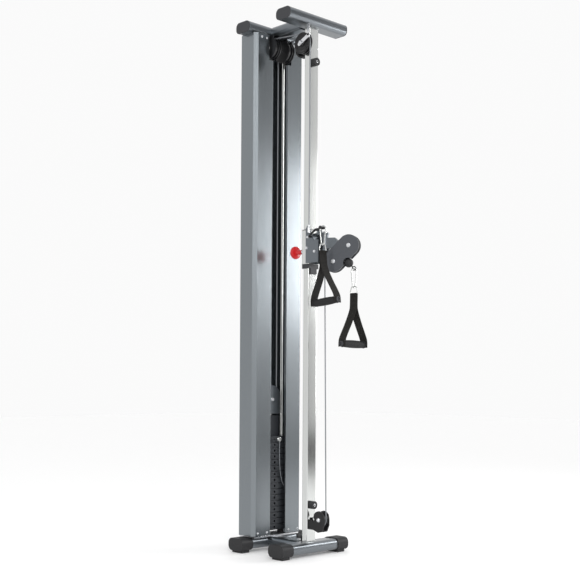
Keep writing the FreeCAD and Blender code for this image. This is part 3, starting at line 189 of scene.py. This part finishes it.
def made(name, verts, faces, slot, matrix=None):
    """A smooth-shaded piece from vertices in metres."""
    mesh = bpy.data.meshes.new(name)
    mesh.from_pydata([tuple((matrix @ Vector(v)) if matrix else Vector(v)) for v in verts], [], faces)
    mesh.validate()
    mesh.update()
    obj = bpy.data.objects.new(name, mesh)
    bpy.context.scene.collection.objects.link(obj)
    mesh.materials.append(MATS[slot])
    for polygon in mesh.polygons:
        polygon.use_smooth = True
    obj.select_set(True)
    bpy.context.view_layer.objects.active = obj
    bpy.ops.object.shade_smooth_by_angle(angle=math.radians(35))
    obj.select_set(False)
    return obj


def lathe(profile, sides=64):
    """Turn a closed profile of (radius, height) in mm about Z."""
    verts, faces, n = [], [], len(profile)
    for i in range(sides):
        turn = 2 * math.pi * i / sides
        verts += [(r * MM * math.cos(turn), r * MM * math.sin(turn), h * MM) for r, h in profile]
    for i in range(sides):
        a, b = i * n, (i + 1) % sides * n
        for k in range(n):
            q = (k + 1) % n
            if profile[k][0] > 0 or profile[q][0] > 0:
                faces.append((a + k, b + k, b + q, a + q))
    return verts, faces


def hexagon(radius, height, washer=0.0):
    """A hex head with a chamfered top, on a washer, standing on z = 0."""
    verts, faces = [], []
    rings = [(radius, washer), (radius, height - 1.2), (radius * 0.86, height)]
    for r, h in rings:
        for i in range(6):
            turn = math.pi / 3 * i
            verts.append((r * MM * math.cos(turn), r * MM * math.sin(turn), h * MM))
    for k in range(2):
        for i in range(6):
            j = (i + 1) % 6
            faces.append((k * 6 + i, k * 6 + j, k * 6 + 6 + j, k * 6 + 6 + i))
    faces.append(tuple(range(12, 18)))
    faces.append(tuple(reversed(range(6))))
    return verts, faces


def merge(*meshes):
    """One mesh from several (mesh, matrix) pairs."""
    verts, faces = [], []
    for (more, polygons), matrix in meshes:
        base = len(verts)
        verts += [tuple(matrix @ Vector(v)) for v in more]
        faces += [tuple(base + i for i in face) for face in polygons]
    return verts, faces


def towards(point, axis):
    """A frame at a point in mm whose Z runs along axis."""
    turn = Vector(axis).to_track_quat("Z", "Y").to_matrix().to_4x4()
    return Matrix.Translation(Vector(point) * MM) @ turn


def bolt(point, axis, length, radius=5.0, head=8.5, nut=True, head_on=True):
    """Shaft from point along axis, with a hex head behind the point and a nut past the end."""
    here = towards(point, axis)
    items = [(lathe([(0, 0), (radius, 0), (radius, length), (0, length)], 32), here)]
    far = here @ Matrix.Translation((0, 0, length * MM))
    washer = lathe([(0, 0), (head, 0), (head, 1.3), (0, 1.3)], 32)
    if nut:
        items += [(hexagon(head * 0.93, 6.6), far), (washer, far)]
    if head_on:
        back = here @ Matrix.Rotation(math.pi, 4, "X")
        items += [(hexagon(head * 0.93, 5.8), back), (washer, back)]
    return items


def sweep(points, radius, sides=16):
    """A tube along points in mm, without twist."""
    verts, faces = [], []
    points = [Vector(p) for p in points]
    side = None
    for i, p in enumerate(points):
        along = (points[min(i + 1, len(points) - 1)] - points[max(i - 1, 0)]).normalized()
        if side is None:
            side = along.orthogonal().normalized()
        side = (side - along * side.dot(along)).normalized()
        up = along.cross(side)
        for k in range(sides):
            turn = 2 * math.pi * k / sides
            q = p + (side * math.cos(turn) + up * math.sin(turn)) * radius
            verts.append(tuple(q * MM))
    for i in range(len(points) - 1):
        for k in range(sides):
            a, b = i * sides + k, i * sides + (k + 1) % sides
            faces.append((a, b, b + sides, a + sides))
    faces.append(tuple(reversed(range(sides))))
    faces.append(tuple(range(len(verts) - sides, len(verts))))
    return verts, faces


def route(points, radii, step=40.0):
    """Points along straight runs joined by arcs of the given radii."""
    points = [Vector(p) for p in points]
    line = [points[0]]
    for before, corner, after, radius in zip(points, points[1:], points[2:], radii):
        back, ahead = (before - corner).normalized(), (after - corner).normalized()
        half = (math.pi - back.angle(ahead)) / 2
        reach = radius * math.tan(half)
        centre = corner + (back + ahead).normalized() * (radius / math.cos(half))
        enter, leave = corner + back * reach, corner + ahead * reach
        a, b = enter - centre, leave - centre
        axis = a.cross(b).normalized()
        for k in range(13):
            line.append(centre + Matrix.Rotation(2 * half * k / 12, 3, axis) @ a)
    line.append(points[-1])
    dense = [line[0]]
    for p, q in zip(line, line[1:]):
        count = max(1, int((q - p).length / step))
        dense += [p.lerp(q, (k + 1) / count) for k in range(count)]
    return [p for i, p in enumerate(dense) if i == 0 or (p - dense[i - 1]).length > 0.01]


# --- wheels ----------------------------------------------------------------------------------

def wheel_profile(radius, half):
    """A grooved wheel's section: bore, hub, dished web, rim and cable groove."""
    root, hub = radius - 6.5, min(14.0, radius * 0.42)
    rim, dish = root - 4.0, half - 4.0
    top = [(5.2, -half), (hub - 1, -half), (hub, -half + 1), (hub, -dish), (rim - 2, -dish),
           (rim, -half + 2),
           (radius - 2, -half), (radius, -half + 1.5), (radius, -4.8), (root, -2.7)]
    return top + [(r, -h) for r, h in reversed(top)]


def wheels():
    turned = Vector((math.cos(math.radians(HEAD_TURN)), math.sin(math.radians(HEAD_TURN)), 0))
    rows = (("front_top_wheel", "front_wheel", LARGE_WHEEL, 11, X_AXIS),
            ("column_top_wheel", "column_wheel", LARGE_WHEEL, 11, X_AXIS),
            ("left_stack_wheel", "left_wheel", LARGE_WHEEL, 11, X_AXIS),
            ("right_stack_wheel", "right_wheel", LARGE_WHEEL, 11, X_AXIS),
            ("floor_wheel", "base_wheel", FLOOR_WHEEL, 11, X_AXIS),
            ("foot_roller", "roller", ROLLER, 8, X_AXIS),
            ("lift_wheel", "lift_pulley", LARGE_WHEEL, 11, (0, 1, 0)),
            ("lower_head_wheel", "lower_wheel", LARGE_WHEEL, 11, turned),
            ("upper_head_wheel", "upper_wheel", LARGE_WHEEL, 11, turned))
    for node, body, radius, half, axis in rows:
        low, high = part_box(node)
        here = towards((low + high) / 2 / MM, axis)
        if radius == ROLLER:
            edge = [(5.2, -8), (14, -8), (ROLLER, -7), (ROLLER, -4.8), (8.7, -2.7)]
            profile = edge + [(r, -h) for r, h in reversed(edge)]
        else:
            profile = wheel_profile(radius, half)
        obj = made("turned_" + node, *merge((lathe(profile), here)), "nylon")
        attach(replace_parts(obj, node), body)
        race = [(5.3, -half - 0.3), (8.6, -half - 0.3), (8.6, -half + 0.6), (5.3, -half + 0.6)]
        flip = [(r, -h) for r, h in race]
        ring = made("race_" + node, *merge((lathe(race, 40), here), (lathe(flip, 40), here)), "bright_steel")
        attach(ring, body)


# --- bolts and small turned parts ------------------------------------------------------------

def bolts():
    side = PITCH + FORK
    items = bolt((-side, FRONT_WHEEL_Y, FRONT_WHEEL_Z), X_AXIS, side - 25 + 1.8, nut=False)
    items += bolt((-FORK, COLUMN_Y + 5 + PITCH, COLUMN_WHEEL_Z), X_AXIS, 2 * FORK)
    items += bolt((-side, STACK_Y - PITCH, STACK_WHEEL_Z), X_AXIS, 2 * side)
    items += bolt((-FORK, FLOOR_WHEEL_Y, FLOOR_WHEEL_Z), X_AXIS, 2 * FORK)
    low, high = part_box("foot_roller")
    mid = (low + high) / 2 / MM
    items += bolt((-22.8, mid.y, mid.z), X_AXIS, 45.6, nut=False, head_on=False)
    items += front_bar()
    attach(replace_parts(made("hex_bolts", *merge(*items), "bright_steel"), "wheel_bolts"), "tower")
    items = []
    for out, z in ((PITCH, LOWER_WHEEL_Z), (UPPER_WHEEL_REACH, UPPER_WHEEL_Z)):
        for part, matrix in bolt((-FORK, -out, z), X_AXIS, 2 * FORK):
            items.append((part, HEAD @ matrix))
    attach(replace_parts(made("head_hex_bolts", *merge(*items), "bright_steel"), "head_bolts"), "swivel_head")
    items = bolt((0, STACK_Y - FORK, LIFT_WHEEL_Z), (0, 1, 0), 2 * FORK, 5, 8)
    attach(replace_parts(made("lift_hex_bolt", *merge(*items), "bright_steel"), "lift_bolt"), "lifted_stack")
    items = bolt((0, PIVOT_Y, 1298), (0, 0, -1), 72, 6, 10)
    for y, z in ((-17, 1284), (-11, 1241), (-55, 1224)):
        for side in (-1, 1):
            here = towards((side * 34, FRONT + y, z), (side, 0, 0))
            items += [(hexagon(6.4, 5.0), here), (lathe([(0, 0), (6.5, 0), (6.5, 1.2), (0, 1.2)], 32), here)]
    anchor = towards((-40, FRONT_WHEEL_Y - PITCH, 1300), (0, 0, 1))
    items.append((lathe([(0, 0), (6, 0), (6, 20), (4, 24), (4, 31), (0, 31)], 32), anchor))
    items.append((hexagon(6.0, 9.0), anchor @ Matrix.Translation((0, 0, 0.006))))
    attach(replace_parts(made("carriage_hex_bolts", *merge(*items), "bright_steel"), "carriage_bolts"),
            "carriage")


def front_bar():
    """The bright flat bar outside the front wheel, in the plane YZ, with a tab to the top tube."""
    outline = []
    for (cy, cz), first in (((-41, 20), 64), ((9, -4), 244)):
        outline += [(cy + 8 * math.cos(math.radians(first + a)), cz + 8 * math.sin(math.radians(first + a)))
                    for a in range(0, 181, 12)]
    tab = [(-47, 20), (-35, 20), (-35, 67.2), (-47, 67.2)]
    items = []
    for shape in (outline, tab):
        count = len(shape)
        verts = [(x * MM, (FRONT_WHEEL_Y + y) * MM, (FRONT_WHEEL_Z + z) * MM)
                 for x in (-54.3, -50.3) for y, z in shape]
        faces = [tuple(range(count)), tuple(reversed(range(count, 2 * count)))]
        faces += [(i, i + count, (i + 1) % count + count, (i + 1) % count) for i in range(count)]
        items.append(((verts, faces), Matrix.Identity(4)))
    return items


def cover_screws():
    items = []
    for side in (-1, 1):
        for x, z in ((62, 78), (112, 78), (76, 2121), (104, 2121)):
            here = towards((side * x, FRONT + 186.5, z), (0, -1, 0))
            items += [(lathe([(0, 0), (5, 0), (5, 0.8), (3.6, 2.6), (1.8, 3.0), (1.8, 1.4), (0, 1.4)], 32),
                       here)]
    items += [(hexagon(5.9, 7.8), towards((25, FRONT - 1, 2058), X_AXIS))]
    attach(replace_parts(made("cover_screws", *merge(*items), "bright_steel"), "frame_fasteners"), "tower")


def bumper_screws():
    for z in (1994, 205):
        here = towards((0, COLUMN_Y - 15 - 18, z), (0, -1, 0))
        screw = lathe([(0, -6), (6.5, -6), (6.5, -1), (5, 0), (3, 0), (3, -2.5), (0, -2.5)], 32)
        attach(made(f"bumper_screw_{z}", *merge((screw, here @ Matrix.Translation((0, 0, 0.0004)))),
                     "bright_steel"), "tower")


def knob():
    low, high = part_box("pop_pin_knob")
    mid = (low + high) / 2 / MM
    here = towards((mid.x, low.y / MM, mid.z), (0, 1, 0))
    profile = [(0, 52), (20, 52), (24, 50), (26, 46), (26, 40), (24, 36), (19, 34), (11, 32), (10, 28),
               (9, 10), (10, 2), (9.5, 0),
               (5.2, 0), (5.2, 30), (0, 30)]
    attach(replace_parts(made("turned_knob", *merge((lathe(profile, 96), here)), "red_plastic"),
                        "pop_pin_knob"), "pop_pin")


def pin():
    low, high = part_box("selector_pin")
    mid = (low + high) / 2 / MM
    here = towards((mid.x, low.y / MM, mid.z), (0, 1, 0))
    profile = [(0, 0), (7, 0), (8.6, 1.2), (9, 3), (9, 5), (7.6, 6), (9, 7), (9, 10.5), (8, 12), (4.5, 12),
               (4.5, 76.5), (3, 78), (0, 78)]
    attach(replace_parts(made("turned_pin", *merge((lathe(profile, 64), here)), "chrome"), "selector_pin"),
            "stack_pin")


# --- cables ----------------------------------------------------------------------------------

def cables():
    a = Vector((-PITCH, FRONT_WHEEL_Y - PITCH, ANCHOR_TOP_Z))
    b = Vector((-PITCH, FRONT_WHEEL_Y - PITCH, FRONT_WHEEL_Z))
    run = made("carriage_cable", *sweep(route([a, b], [], 20), CABLE_RADIUS), "cable")
    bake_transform(run)
    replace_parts(run, "cable_carriage_runs")
    a, b = Vector((0, FLOOR_WHEEL_Y - FLOOR_PITCH, 154)), Vector((0, PIVOT_Y, HEAD_LOW_Z))
    rise = made("front_cable", *sweep(route([a, b], [], 20), CABLE_RADIUS), "cable")
    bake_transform(rise)
    top, low = STACK_WHEEL_Z, LIFT_WHEEL_Z - PITCH
    points = route([(-PITCH, STACK_Y, top), (-PITCH, STACK_Y, low), (PITCH, STACK_Y, low),
                    (PITCH, STACK_Y, top)],
                   [PITCH - 0.01] * 2, 20)
    loop = made("stack_cable", *sweep(points, CABLE_RADIUS), "cable")
    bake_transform(loop)
    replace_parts(loop, "cable_stack_run")
    low, high = Vector((0, -PITCH, LOWER_WHEEL_Z)), Vector((0, -UPPER_WHEEL_REACH, UPPER_WHEEL_Z))
    across = (high - low).normalized()
    out = Vector((0, -across.z, across.y))
    touch = low + across * PITCH
    ball = touch + out * 47.5
    corner = touch - out * ((touch.z - low.z - PITCH) / out.z)
    bend = route([(0, 0, HEAD_LOW_Z), (0, 0, low.z + PITCH), corner, touch + out * 4], [PITCH, PITCH], 20)
    verts, faces = sweep(bend, CABLE_RADIUS)
    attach(made("head_cable", verts, faces, "cable", HEAD), "swivel_head")
    tail = made("pulled_cable", *sweep(route([touch, ball], [], 4), CABLE_RADIUS), "cable", HEAD)
    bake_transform(tail)
    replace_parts(tail, "cable_head_run")


def lanyard():
    """The pin's thin cord, from its knob to the end of the head plate."""
    row = [(0, 178, -9.3), (1, 179, -24), (6, 185, -62), (15, 193, -104), (26, 199, -150), (40, 201, -188),
           (58, 201, -207),
           (77, 201, -200), (90, 201, -172), (96, 201, -130), (99, 201, -86), (101, 202, -45),
           (102, 203.5, -13)]
    points = [Vector((x, FRONT + y, 461.3 + dz)) for x, y, dz in row]
    radii = []
    for a, b, c in zip(points, points[1:], points[2:]):
        turn = math.pi - (a - b).angle(c - b)
        radii.append(0.45 * min((a - b).length, (c - b).length) / math.tan(turn / 2))
    line = route(points, radii, 8)
    obj = made("lanyard_cord", *sweep(line, 1.5, 12), "cable")
    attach(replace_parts(obj, "pin_lanyard"), "lifted_stack")


# --- handles ---------------------------------------------------------------------------------

def ribbon(points, width, thick, rows=9):
    """A flat strap in the plane XZ, along points in mm, with its edges slightly thinner."""
    points = [Vector((x, 0, z)) for x, z in points]
    verts, faces, ring = [], [], 2 * rows
    for i, p in enumerate(points):
        along = (points[min(i + 1, len(points) - 1)] - points[max(i - 1, 0)]).normalized()
        out = along.cross(Vector((0, 1, 0))).normalized()
        for sign in (1, -1):
            for k in range(rows):
                t = k / (rows - 1) * 2 - 1
                y = t * sign * width / 2
                fat = thick / 2 * (1 - 0.45 * abs(t) ** 8)
                verts.append(tuple((p + out * fat * sign + Vector((0, y, 0))) * MM))
    for i in range(len(points) - 1):
        for k in range(ring):
            a, b = i * ring + k, i * ring + (k + 1) % ring
            faces.append((a, b, b + ring, a + ring))
    faces.append(tuple(reversed(range(ring))))
    faces.append(tuple(range(len(verts) - ring, len(verts))))
    return verts, faces


def smooth_line(points, times=3):
    """Corner cutting, which rounds a line in a plane."""
    for _ in range(times):
        line = [points[0]]
        for (ax, ay), (bx, by) in zip(points, points[1:]):
            line += [(0.75 * ax + 0.25 * bx, 0.75 * ay + 0.25 * by),
                     (0.25 * ax + 0.75 * bx, 0.25 * ay + 0.75 * by)]
        points = line + [points[-1]]
    return points


def handle(side, top, turn, tilt):
    """A strap handle hung under a carabiner whose top is at a point in mm."""
    place = Matrix.Translation(Vector(top) * MM) @ Matrix.Rotation(math.radians(turn), 4, "Z")
    link = -HOOK + 5.3
    strap_z = link - 32 - 0.4
    lean = place @ Matrix.Translation((0, 0, strap_z * MM)) @ Matrix.Rotation(math.radians(tilt), 4, "Y")
    reach = 63.5
    items = []
    for sign in (-1, 1):
        leg = [(sign * 1.4, -1.0), (sign * 1.5, -30), (sign * 1.6, -46), (sign * 3.5, -62),
               (sign * 26, -112),
               (sign * (reach - 5), -170), (sign * reach, -186), (sign * reach, HANDLE_DROP - 12)]
        items.append((ribbon(smooth_line(leg), 38, 2.6), Matrix.Identity(4)))
    loop = [(1.4 * 2.2 * math.cos(a), -1 + 6 * math.sin(a)) for a in [math.pi * k / 12 for k in range(13)]]
    items.append((ribbon(loop, 36, 2.2), Matrix.Identity(4)))
    for z in (-8, -44):
        band = [(x, z + d) for x, d in ((3.1, 0), (3.1, -1.2))]
        items.append((ribbon(band, 30, 0.8), Matrix.Identity(4)))
        items.append((ribbon([(-x, d) for x, d in band], 30, 0.8), Matrix.Identity(4)))
    verts, faces = merge(*items)
    strap = made(f"{side}_webbing", verts, faces, "webbing", lean)
    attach(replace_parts(strap, f"{side}_strap"), f"{side}_strap_body")
    along = lean @ Matrix.Translation((0, 0, HANDLE_DROP * MM)) @ Matrix.Rotation(math.pi / 2, 4, "Y")
    profile = [(0, -61)]
    for k in range(49):
        t = k / 48 * 2 - 1
        profile.append((15.6 - 2.6 * t * t - 0.5 * (k % 4 == 0), t * 60))
    profile.append((0, 61))
    core = merge((lathe(profile, 64), along))
    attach(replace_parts(made(f"{side}_foam", *core, "foam"), f"{side}_grip"), f"{side}_grip_body")
    ends = []
    for sign in (-1, 1):
        cap = [(0, 60), (14.2, 60), (14.6, 60.8), (10.6, 61.6), (10.6, 69.6), (9.4, 70.9), (6.5, 70.9),
               (6.5, 68), (0, 68)]
        ends.append((lathe([(r, sign * h) for r, h in cap], 48), along))
    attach(made(f"{side}_grip_ends", *merge(*ends), "plastic"), f"{side}_grip_body")


def handles():
    eye = HEAD @ (Vector(eye_point()) * MM)
    handle("left", (-60, FRONT - 126, 1315.65), 90, LEFT_TILT)
    handle("right", (eye.x / MM, eye.y / MM, eye.z / MM - 5 + 3.15), 0, RIGHT_TILT)


def eye_point():
    """The eye past the ball stop, in the head's own frame in mm."""
    across = Vector((0, PITCH - UPPER_WHEEL_REACH, UPPER_WHEEL_Z - LOWER_WHEEL_Z)).normalized()
    out = Vector((0, -across.z, across.y))
    return Vector((0, -PITCH, LOWER_WHEEL_Z)) + across * PITCH + out * 78.5


# --- room, light and camera ------------------------------------------------------------------

def area(name, where, aim, size, power):
    """A rectangular light, aimed at a point."""
    light = bpy.data.lights.new(name, "AREA")
    light.shape = "RECTANGLE"
    light.size, light.size_y = size
    light.energy = power
    obj = bpy.data.objects.new(name, light)
    bpy.context.scene.collection.objects.link(obj)
    obj.location = where
    obj.rotation_euler = (Vector(aim) - Vector(where)).to_track_quat("-Z", "Y").to_euler()


def wall(where, width, height, grey):
    """A dark upright card out of view, facing the middle, for the metal to reflect."""
    out = Vector((*where, 0)).normalized()
    side = Vector((-out.y, out.x, 0)) * width / 2
    foot = Vector((*where, 0.02))
    rise = Vector((0, 0, height))
    corners = [foot - side, foot + side, foot + side + rise, foot - side + rise]
    mesh = bpy.data.meshes.new("card")
    mesh.from_pydata([tuple(c) for c in corners], [], [(0, 1, 2, 3)])
    card = bpy.data.objects.new("card", mesh)
    bpy.context.scene.collection.objects.link(card)
    paint = bpy.data.materials.new("card_paint")
    paint.use_nodes = True
    shader = paint.node_tree.nodes["Principled BSDF"]
    shader.inputs["Base Color"].default_value = (grey, grey, grey, 1)
    shader.inputs["Roughness"].default_value = 0.9
    mesh.materials.append(paint)
    card.visible_camera = False


def room():
    """Pale floor, even white surroundings, and the lights and card that the metal reflects."""
    verts = [(-14, -14, 0), (14, -14, 0), (14, 14, 0), (-14, 14, 0)]
    mesh = bpy.data.meshes.new("floor")
    mesh.from_pydata(verts, [], [(0, 1, 2, 3)])
    floor = bpy.data.objects.new("floor", mesh)
    bpy.context.scene.collection.objects.link(floor)
    paint = bpy.data.materials.new("floor_paint")
    paint.use_nodes = True
    shader = paint.node_tree.nodes["Principled BSDF"]
    shader.inputs["Base Color"].default_value = (0.86, 0.86, 0.86, 1)
    shader.inputs["Roughness"].default_value = 0.6
    shader.inputs["Emission Color"].default_value = (1, 1, 1, 1)
    shader.inputs["Emission Strength"].default_value = 0.12
    mesh.materials.append(paint)
    world = bpy.data.worlds.new("studio")
    world.use_nodes = True
    back = world.node_tree.nodes["Background"]
    back.inputs["Color"].default_value = (1, 1, 1, 1)
    back.inputs["Strength"].default_value = 0.96
    bpy.context.scene.world = world
    bpy.context.scene.view_settings.view_transform = "Standard"
    wall((2.6, -2.7), width=2.6, height=4.2, grey=0.07)
    area("tall strip", (2.24, -2.0, 1.75), aim=(0, 0, 1.2), size=(0.5, 2.9), power=4.2)
    area("bright strip", (2.36, -1.86, 1.68), aim=(0, 0, 1.2), size=(0.36, 1.1), power=14)
    area("key", (-2.2, -3.2, 2.4), aim=(0, 0, 1.1), size=(1.6, 2.4), power=60)
    area("side", (3.2, -1.6, 1.3), aim=(0.1, 0.1, 1.1), size=(0.9, 1.6), power=45)


def camera():
    """The camera at the photograph's viewing angle, as fitted to the frame's corners."""
    cam = bpy.data.cameras.new("camera")
    cam.sensor_width = 36
    cam.lens = 65.25
    cam.shift_y = 0.1528
    obj = bpy.data.objects.new("camera", cam)
    bpy.context.scene.collection.objects.link(obj)
    azimuth, roll = 43.94, 0.35
    place = Matrix.Translation((-3.0148, -3.0112 + FRONT * MM, 0.7149))
    aim = Matrix.Rotation(math.radians(-azimuth), 4, "Z") @ Matrix.Rotation(math.pi / 2, 4, "X")
    obj.matrix_world = place @ aim @ Matrix.Rotation(math.radians(roll), 4, "Z")
    bpy.context.scene.camera = obj


wheels()
bolts()
cover_screws()
bumper_screws()
knob()
pin()
cables()
lanyard()
handles()
room()
camera()
